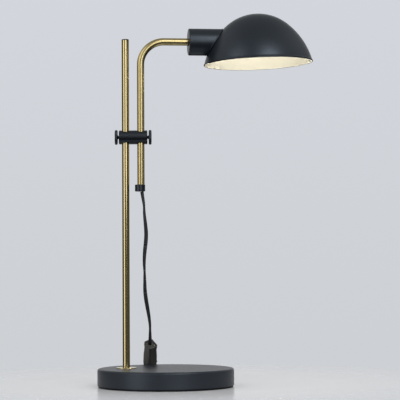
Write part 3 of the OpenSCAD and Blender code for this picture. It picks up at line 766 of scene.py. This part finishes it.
def reach_dome(angle, r, gap):
    """The distance along the leg at which a line on the cup is gap away from the dome."""
    near, far = SEARCH
    for _ in range(HALVINGS):
        middle = (near + far) / 2
        p = on_leg(middle) @ Vector((r * math.cos(angle) * MM, r * math.sin(angle) * MM, 0))
        near, far = (middle, far) if over_dome(p) > gap else (near, middle)
    return near


lip_section = [(-LIP_R, -LIP_DEPTH), *[(LIP_R * x, LIP_T * y) for x, y in arc(0, 0, 1, 180, 0, 10)],
               (LIP_R, -LIP_DEPTH)]
lip_rings = []
for i in range(LIP_STEPS):
    angle = math.tau * i / LIP_STEPS
    out = Vector((math.cos(angle), math.sin(angle), 0)) * MM
    lip_rings.append([on_leg(reach_dome(angle, CUP_R + up, SEAM + LIP_R - across)) @ (out * (CUP_R + up))
                      for across, up in lip_section])


def ring_mesh(name, rings, around=False):
    """A piece through rings, with its normals outwards and its gentle edges smooth."""
    piece = through_rings(name, rings, around)
    edit(piece)
    face_outwards()
    pick(piece)
    smooth_below(40)
    return piece


cup_lip = ring_mesh("cup_lip", lip_rings, around=True)
tell(cup_lip)

# %% [markdown]
# ## The socket cup
# The cup is deep drawn: a round can with a soft back corner and an even wall. Its open end is trimmed to
# the dome, so the dome's own shape, half a millimetre larger all round, is the cutter. Two lugs inside it
# take the shade's screws and are trimmed in the same way.

# %% Turn the cup and trim it
CUP_S, CUP_WALL, CUP_BACK, CUP_EDGE = 65.7, 1.5, 2.5, 1.4
CUP_L, LUG_L = 54, 50  # before they are trimmed
CUP_SHORT = 0.2  # how much sooner than the lip the cup's own wall ends
LUG_R, LUG_BORE, LUG_FLOOR = 2, 1.25, 6
NIPPLE_R = 4.04
cup = lathe("cup", arc(CUP_R - CUP_EDGE, CUP_EDGE, CUP_EDGE, -90, 0, 8) + [
    (CUP_R, CUP_L), (CUP_R - CUP_WALL, CUP_L), *arc(CUP_R - CUP_WALL - 1, CUP_BACK + 1, 1, 0, -90, 4),
    (NIPPLE_R, CUP_BACK), (NIPPLE_R, 0), (CUP_R - CUP_EDGE, 0)], on_leg(CUP_S))
lug_outline = [(0, 0), (LUG_R, 0), (LUG_R, LUG_L), (LUG_BORE, LUG_L), (LUG_BORE, LUG_FLOOR), (0, LUG_FLOOR)]
lugs = [lathe("cup_lug", lug_outline, on_leg(CUP_S + CUP_BACK) @ at(0, side * SCREW_Y, 0), 32)
        for side in (-1, 1)]
for piece, gap in ((cup, SEAM + CUP_SHORT), (lugs[0], 0), (lugs[1], 0)):
    cut(piece, lathe("dome_cutter", [(0, 0)] + dome_line(gap, 30), DOME))
cup = join([cup, cup_lip, *lugs], "cup")
smooth_below(35)
cup.data.materials.append(charcoal)
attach(cup, "head")
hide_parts("socket_cup")
print("cup: %.1f mm across, trimmed to the dome" % (2 * CUP_R))

# %% [markdown]
# ## Thumb screws
# A thumb screw is turned from bar: a threaded shank, a short cone and a flat disc, knurled for grip. The
# whole outline is spun at once, with fine rings for the thread. Insetting each face of the disc's edge by
# itself and pushing it out gives the straight knurl, and the second screw is a copy of the first.

# %% Turn one screw, knurl it and copy it
THUMB_R, KNURL = 10, 0.3
BUSH_GAP = 6.04  # from a tube's axis to the outside of its bush
TIP = 1  # from there to the tip of the screw
DISC_LOW, DISC_HIGH = 5.11, 8.11
EDGE_IN, EDGE_UP, DISH = 0.5, 0.4, 0.4  # the disc's rounded edges, and how deep its face is dished
THREAD_R, THREAD_D, PITCH, TURNS = 2, 0.35, 0.7, 5
thread = []
for i in range(TURNS):
    z = TIP + 0.1 + i * PITCH
    thread += [(THREAD_R - THREAD_D, z), (THREAD_R, z + PITCH * 0.4), (THREAD_R, z + PITCH * 0.6)]
body_r = THUMB_R - KNURL
screw_outline = [(0, TIP), (1.4, TIP)] + thread[:-1] + [
    (THREAD_R, DISC_LOW - 1), (3, DISC_LOW - 0.1), (3.2, DISC_LOW), (body_r - EDGE_IN, DISC_LOW),
    (body_r, DISC_LOW + EDGE_UP), (body_r, DISC_HIGH - EDGE_UP), (body_r - EDGE_IN, DISC_HIGH),
    (7.4, DISC_HIGH), (6.8, DISC_HIGH - DISH), (0, DISC_HIGH - DISH)]
thumb = lathe("left_thumb", screw_outline, steps=72, smooth=25)
for face in thumb.data.polygons:
    face.select = (math.hypot(face.center.x, face.center.y) > (body_r - 0.05) * MM
                   and abs(face.normal.z) < 0.1)
edit(thumb)
bpy.ops.mesh.select_mode(type="FACE")
bpy.ops.mesh.inset(thickness=0.2 * MM, depth=KNURL * MM, use_individual=True, use_even_offset=False)
pick()
thumb.data.materials.append(clamp_paint)
copy = add_object("right_thumb", thumb.data.copy())
for piece, x, turn in ((thumb, mast_x, -90), (copy, leg_start.x, 90)):
    settle(piece, Matrix.Translation((x, 0, clamp_z)) @ turned(turn, "Y") @ at(0, 0, BUSH_GAP))
    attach(piece, piece.name)
    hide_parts(piece.name + "_screw")
tell(thumb, copy)

# %% [markdown]
# ## Cross-head screws
# The shade and the switch are each held by two small pan-head screws. A head is a low dome with a cross
# cut in it by two bars, so one function makes all four, in two sizes.

# %% One cross-head screw
def bar(size, matrix):
    """A straight bar for cutting, drawn from a plane by extruding it."""
    pick()
    bpy.ops.mesh.primitive_plane_add(size=MM)
    piece = bpy.context.object
    piece.scale = (size[0], size[1], 1)
    piece.location.z = -size[2] * MM / 2
    settle(piece)
    edit(piece)
    pick_mesh()
    pull((0, 0, size[2] * MM))
    face_outwards()
    settle(piece, matrix)
    return piece


EDGE_SHARE = 0.35  # of the head's height, below its dome
SLOT_W, SLOT_TURN = 0.45, 20


def cross_head_screw(head_r, head_h, shank_r, shank_l, matrix):
    """A screw whose head sits on Z 0 and whose shank goes down."""
    dome = [(head_r * math.cos(a), head_h * (EDGE_SHARE + (1 - EDGE_SHARE) * math.sin(a)))
            for a in (0.35, 0.7, 1.05, 1.3)]
    outline = [(0, -shank_l), (shank_r * 0.7, -shank_l), (shank_r, 0.5 - shank_l), (shank_r, 0), (head_r, 0),
               (head_r, head_h * EDGE_SHARE), *dome, (0, head_h)]
    screw = lathe("screw", outline, steps=32, smooth=40)
    for turn in (SLOT_TURN, SLOT_TURN + 90):
        cut(screw, bar((head_r * 1.3, SLOT_W, head_h), at(0, 0, head_h) @ turned(turn, "Z")))
    settle(screw, matrix)
    screw.data.materials.append(zinc)
    return screw


HEAD_S = 104.5
shade_screws = join([cross_head_screw(2, 1.4, 1.25, 12, on_leg(HEAD_S) @ at(0, side * SCREW_Y, 0))
                     for side in (-1, 1)], "dome_screws")
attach(shade_screws, "head")
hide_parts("shade_screws")
tell(shade_screws)

# %% [markdown]
# ## The switch's two halves
# The in-line switch is a moulded box with eight sides, waisted behind each end so that the fingers find it.
# Its section is drawn once and repeated at ten stations, a little larger or smaller. The box is then
# bisected along its middle, because the real one is two mouldings that meet at a fine parting line.

# %% The box and its halves
SWITCH = at(-22.6, 74.65, 54.35) @ turned(4, "Y") @ turned(43, "X") @ turned(-54, "Z")
SWITCH_L = 60
HALF_W, HALF_D, CORNER = 8.4, 6.8, 9.3
POCKET_RIM, POCKET_D = 1.5, 1  # the rim's width, and the pocket's depth
HOLE_R, HOLE_SQUASH = 2.6, (1.15, 0.8, 1, 1)
WAIST = [(0, 0), (5, 0), (7.5, -0.5), (12, -0.4), (22, 0.3)]  # (distance from an end, growth)


def octagon(grow, z):
    a, b, c = HALF_W + grow, HALF_D + grow, (CORNER + grow) * math.sqrt(2)
    return in_metres([(a, c - a, z), (c - b, b, z), (b - c, b, z), (-a, c - a, z), (-a, a - c, z),
                      (b - c, -b, z), (c - b, -b, z), (a, a - c, z)])


def switch_half(name, side):
    """The half whose Y has the sign of side."""
    stations = [(-d, grow) for d, grow in WAIST] + [(d - SWITCH_L, grow) for d, grow in WAIST[::-1]]
    half = ring_mesh(name, [octagon(grow, z) for z, grow in stations])
    edit(half)
    pick_mesh()
    bpy.ops.mesh.bisect(plane_co=(0, 0, 0), plane_no=(0, -side, 0), use_fill=True, clear_outer=True)
    pick()
    for end, outwards in ((0, 1), (-SWITCH_L, -1)):
        inner, outer = end - outwards * POCKET_D, end + outwards * (POCKET_D + 0.4)
        low, high = sorted((inner, outer))
        cut(half, ring_mesh("pocket", [octagon(-POCKET_RIM, low), octagon(-POCKET_RIM, high)]))
    hole = [(0, -SWITCH_L - 10), (HOLE_R, -SWITCH_L - 10), (HOLE_R, 5), (0, 5)]
    cut(half, lathe("flex_hole", hole, at(-1.6, -0.6, 0) @ Matrix.Diagonal(HOLE_SQUASH), 32))
    return half


front = switch_half("switch_shell_front", -1)
back = switch_half("switch_shell_back", 1)
tell(front, back)

# %% [markdown]
# The back half has the well for the rocker, two screw bores and a short bar that the flex's end bears on.
# All its edges, and the two edges of the parting line, are rounded by a narrow bevel, as moulded parts are.

# %% Well, bores and rounded edges
ROCKER_Z, ROCKER_Y, ROCKER_W, ROCKER_TIPPED = -29, 3.4, 8, 8
SCREW_AT = [(4.6, -9.5), (4.6, 9.5 - SWITCH_L)]
SCREW_SEAT = 4.8
WELL = (ROCKER_W + 0.6, 12, 22)
BORE_R, BORE_TOP = 2, 12
cut(back, bar(WELL, at(0, 6, ROCKER_Z)))
for x, z in SCREW_AT:
    cut(back, lathe("bore", [(0, SCREW_SEAT), (BORE_R, SCREW_SEAT), (BORE_R, BORE_TOP), (0, BORE_TOP)],
                    at(x, 0, z) @ turned(-90, "X"), 32))
rib = lathe("rib", [(0, -4), (1, -4), (1.4, -3.6), (1.4, 3.6), (1, 4), (0, 4)],
            at(0, HALF_D - 0.4, -6.5) @ turned(90, "Y"), 24)
cut(back, rib, "UNION")
for half, node_name in ((front, "switch_front"), (back, "switch_back")):
    round_edges(half, 0.35, 2, 28)
    smooth_below(40)
    settle(half, SWITCH)
    half.data.materials.append(switch_plastic)
    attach(half, "base")
    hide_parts(node_name)
    tell(half)

# %% [markdown]
# ## The rocker
# A rocker is one bar with two flat faces that meet in a shallow valley, so that one end always stands up.
# Its side outline is drawn with extrude, filled, and pulled to its width.

# %% Draw and pull the rocker
rocker_outline = [(3.9, 10), (0, 4), (-1.6, 2), (-1.6, -2), (0, -4), (3.9, -10), (5.6, -10), (4.4, -3),
                  (3.9, 0), (4.4, 3), (5.6, 10), (3.9, 10)]
rocker = draw_line("rocker", in_metres([(-ROCKER_W / 2, y, z) for y, z in rocker_outline]))
merge_near(0.001)
bpy.ops.mesh.edge_face_add()
pull((ROCKER_W * MM, 0, 0))
face_outwards()
round_edges(rocker, 0.3, 2, 30)
smooth_below(40)
settle(rocker, SWITCH @ at(0, ROCKER_Y, ROCKER_Z) @ turned(ROCKER_TIPPED, "X"))
rocker.data.materials.append(switch_plastic)
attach(rocker, "rocker")
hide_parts("switch_rocker")
switch_screws = join([cross_head_screw(1.9, 1.2, 1, 7, SWITCH @ at(x, SCREW_SEAT, z) @ turned(-90, "X"))
                      for x, z in SCREW_AT], "shell_screws")
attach(switch_screws, "base")
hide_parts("switch_screws")
tell(rocker, switch_screws)

# %% [markdown]
# ## The plug and its sleeve
# The plug is moulded round the flex in one piece. Its plan and its height both narrow towards the flex, so it
# is a lower and an upper outline that come closer there, rounded all over. The sleeve behind it tapers over
# 22 mm and has soft grooves, so that it bends with the flex.

# %% Mould the plug
PLUG_AT = Vector((-62, 134, 0)) * MM
PLUG_L, PLUG_W, PLUG_H = 36, 35, 13.7
SLOPE_L, SLOPE_H = 18, 2.2  # of the two slopes at the flex end
half_plan = [(PLUG_W / 2, 0), (PLUG_W / 2, 13), (9, 30), (6.4, PLUG_L)]
plan = [(x, y - PLUG_L) for x, y in half_plan + [(-x, y) for x, y in half_plan[::-1]]]


def plug_face(y, way):
    """The height of the plug's lower (way 1) or upper (way -1) face, where the flex end is at y = 0."""
    return (0 if way == 1 else PLUG_H) + way * SLOPE_H * max(0, (y + SLOPE_L) / SLOPE_L)


plug = ring_mesh("plug_moulding", [in_metres([(x, y, plug_face(y, way)) for x, y in plan])
                                   for way in (1, -1)])
for y, width in ((-15.5, 26), (-12.5, 18), (-9.5, 18), (-6.5, 18)):  # grip grooves
    for way in (1, -1):
        cut(plug, bar((width, 1, 1.2), at(0, y, plug_face(y, way))))
round_edges(plug, 0.3, 1, 60)
smooth_below(30)
settle(plug, Matrix.Translation(PLUG_AT))
plug.data.materials.append(black_plastic)
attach(plug, "base")
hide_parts("plug_body")
tell(plug)

# %% Turn the sleeve
RELIEF_L, RELIEF_LOW, RELIEF_HIGH, RELIEF_BORE = 22, 4.4, 3.3, 1.8
GROOVE_D, GROOVE_STEP, SLEEVE_STEPS = 0.7, 4.4, 66
sleeve_outline = [(RELIEF_BORE, -1), (RELIEF_LOW, -1)]
for i in range(SLEEVE_STEPS + 1):
    z = i * RELIEF_L / SLEEVE_STEPS
    wave = max(0, -math.cos(math.tau * z / GROOVE_STEP)) if 2 < z < RELIEF_L - 2 else 0
    sleeve_outline.append((RELIEF_LOW + (RELIEF_HIGH - RELIEF_LOW) * z / RELIEF_L - GROOVE_D * wave, z))
sleeve_outline += [(RELIEF_HIGH - 0.5, RELIEF_L + 0.3), (RELIEF_BORE, RELIEF_L + 0.3), (RELIEF_BORE, -1)]
sleeve = lathe("plug_sleeve", sleeve_outline,
               Matrix.Translation(PLUG_AT) @ at(0, 0, PLUG_H / 2) @ turned(-90, "X"), 48)
sleeve.data.materials.append(black_plastic)
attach(sleeve, "base")
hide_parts("plug_relief")
tell(sleeve)

# %% [markdown]
# ## The tie round the coil
# A coil of flex is sold with a soft strap round it. The strap follows the bundle, so a loop is drawn round
# the bundle's section, its corners are rounded, and it is pulled to its width and given a thickness. A tab
# lies on top, for the fingers.

# %% Loop the strap
TIE_W, TIE_T, TIE_TURN = 6, 0.45, -35


def widen():
    """Pulls a drawn line to the strap's width, with the line in its middle."""
    pick_mesh()
    pull((0, TIE_W * MM, 0))
    pick_mesh()
    bpy.ops.transform.translate(value=(0, -TIE_W / 2 * MM, 0))


tie_outline = [(24, 6.2), (24, 0.5), (38.7, 0.5), (38.7, 6.2), (37.1, 11.3), (25.6, 11.3)]
tie = draw_line("strap", in_metres([(r, 0, z) for r, z in tie_outline + tie_outline[:1]]))
merge_near(0.001)
bpy.ops.mesh.bevel(offset=1.2 * MM, segments=5, affect="VERTICES")
widen()
face_outwards()
apply_modifier(tie, "SOLIDIFY", thickness=TIE_T * MM, offset=1)
tab = draw_line("tab", in_metres([
    (36, 0, 11.65), (33, 0, 11.7), (30, 0, 11.75), (28, 0, 12), (26, 0, 12.4), (24.5, 0, 12.8)]))
widen()
apply_modifier(tab, "SOLIDIFY", thickness=TIE_T * MM, offset=1)
tie = join([tie, tab], "strap")
round_edges(tie, 0.12, 1, 50)
smooth_below(40)
settle(tie, Matrix.Translation(COIL_CENTRE) @ turned(TIE_TURN, "Z"))
tie.data.materials.append(black_plastic)
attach(tie, "base")
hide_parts("cord_tie")
tell(tie)

# %% [markdown]
# ## The cord's length
# The four hanging stretches end in the next stretch or in the switch, and the long one ends in its plug.
# Together they are the 1.8 m that a table lamp has, and their sum is printed.

print("cord in all: %.2f m" % sum(length_of(line) for line in flex_lines))

# %% [markdown]
# ## Table and light
# The lamp stands on a pale glossy table in front of a light wall. The wall is the world's own colour, so
# that it looks the same from every side, and the table fades into it with distance.

# %% Table
TABLE_R, TABLE_MIDDLE = 0.9, (0.03, 0.08, 0)
TABLE_COLOUR, TABLE_GLOSS, TABLE_IOR = colour(214, 214, 216), 0.17, 1.12
FADE = (0.2, 0.45)  # metres from the middle over which the table turns into the wall
bpy.ops.mesh.primitive_circle_add(vertices=96, radius=TABLE_R, fill_type="NGON", location=TABLE_MIDDLE)
table_top = bpy.context.object
table_top.name = "table_top"
table_look, t, surface = new_look("table_look")
surface.inputs["Base Color"].default_value = TABLE_COLOUR
surface.inputs["Roughness"].default_value = TABLE_GLOSS
surface.inputs["IOR"].default_value = TABLE_IOR
far_away = node(t, "BsdfTransparent")
place = node(t, "TexCoord").outputs["Object"]
distance = node(t, "VectorMath", n_operation="LENGTH", i0=place).outputs["Value"]
look = node(t, "MixShader", i0=remap(t, distance, *FADE), i1=surface.outputs[0],
            i2=far_away.outputs[0])
t.links.new(look.outputs[0], t.nodes["Material Output"].inputs["Surface"])
table_top.data.materials.append(table_look)
tell(table_top)

# %% [markdown]
# The camera sees an even wall. Gloss sees a studio: bright behind the lamp, dimmer above it and at its
# sides, and dark under the table's level. That gives the brass its dark edges. All other rays get the same
# soft light from everywhere above the table, which fills the shadows.

# %% World
WALL_LOW, WALL_HIGH = colour(205, 208, 212), colour(211, 214, 221)
ROOM_COLOUR, ROOM_LIGHT = (0.97, 0.985, 1, 1), 0.62
# Each row has the range of a ray's own X, Y or Z over which something changes, and from what to what.
WALL_BY_Z = (-0.05, 0.18)
BEHIND_BY_Y = (0.75, 0.95, 0.0, 0.65)
ABOVE_BY_Z = (0.3, 0.8, 0.1, 0.3)
SIDES_BY_X = (0.4, 0.85, 0.0, 0.4)
RAISED_BY_Z = (0.1, 0.4)
TABLE_BY_Z = (-0.25, -0.02, 0.1, 1.0)

world = bpy.data.worlds.new("studio")
bpy.context.scene.world = world
world.use_nodes = True
t = world.node_tree
t.nodes.clear()
rays = node(t, "LightPath").outputs
direction = node(t, "TexCoord").outputs["Generated"]
x, y, z = node(t, "SeparateXYZ", Vector=direction).outputs
sides = maths(t, "MULTIPLY_ADD", remap(t, maths(t, "ABSOLUTE", x), *SIDES_BY_X),
              remap(t, z, *RAISED_BY_Z), remap(t, z, *ABOVE_BY_Z))
below = remap(t, z, *TABLE_BY_Z)
seen = maths(t, "MULTIPLY", maths(t, "ADD", remap(t, y, *BEHIND_BY_Y), sides), below)
lit = maths(t, "MULTIPLY", ROOM_LIGHT, below)
room = node(t, "Background", Color=ROOM_COLOUR, Strength=lit).outputs[0]
gloss = node(t, "Background", Color=ROOM_COLOUR, Strength=seen).outputs[0]
wall_colour = mixed(t, remap(t, z, *WALL_BY_Z), WALL_LOW, WALL_HIGH)
wall = node(t, "Background", Color=wall_colour, Strength=1.0).outputs[0]
unseen = node(t, "MixShader", i0=rays["Is Glossy Ray"], i1=room, i2=gloss).outputs[0]
every = node(t, "MixShader", i0=rays["Is Camera Ray"], i1=unseen, i2=wall).outputs[0]
node(t, "OutputWorld", Surface=every)
print("world: %d nodes" % len(t.nodes))

# %% [markdown]
# Three soft boxes model the forms: a tall one at the left, and two in front at the right. They are wide and
# dim, because a thin tube reflects a small bright box as a few spots only. The highest and smallest gives
# the dome its highlight.

# %% Soft boxes
LAMP_MIDDLE = (0.03, 0, 0.3)


def softbox(name, place, size, strength):
    """A rectangular soft light, aimed at the lamp. strength is how bright its face is, where 1 is white."""
    data = bpy.data.lights.new(name, "AREA")
    data.shape = "RECTANGLE"
    data.size, data.size_y = size
    data.energy = strength * math.pi * size[0] * size[1]
    box = add_object(name, data)
    box.location = place
    box.rotation_euler = (Vector(LAMP_MIDDLE) - Vector(place)).to_track_quat("-Z", "Y").to_euler()
    box.visible_camera = False
    print("%s: %.1f W" % (name, data.energy))


softbox("left_wide", (-1.61, -1.5, 0.95), (1.25, 2.7), 1.6)
softbox("front_wide", (0.76, -2.06, 1.3), (1.15, 2.1), 2.3)
softbox("front_high", (1.2, -1.85, 1.6), (0.95, 1.2), 3.6)
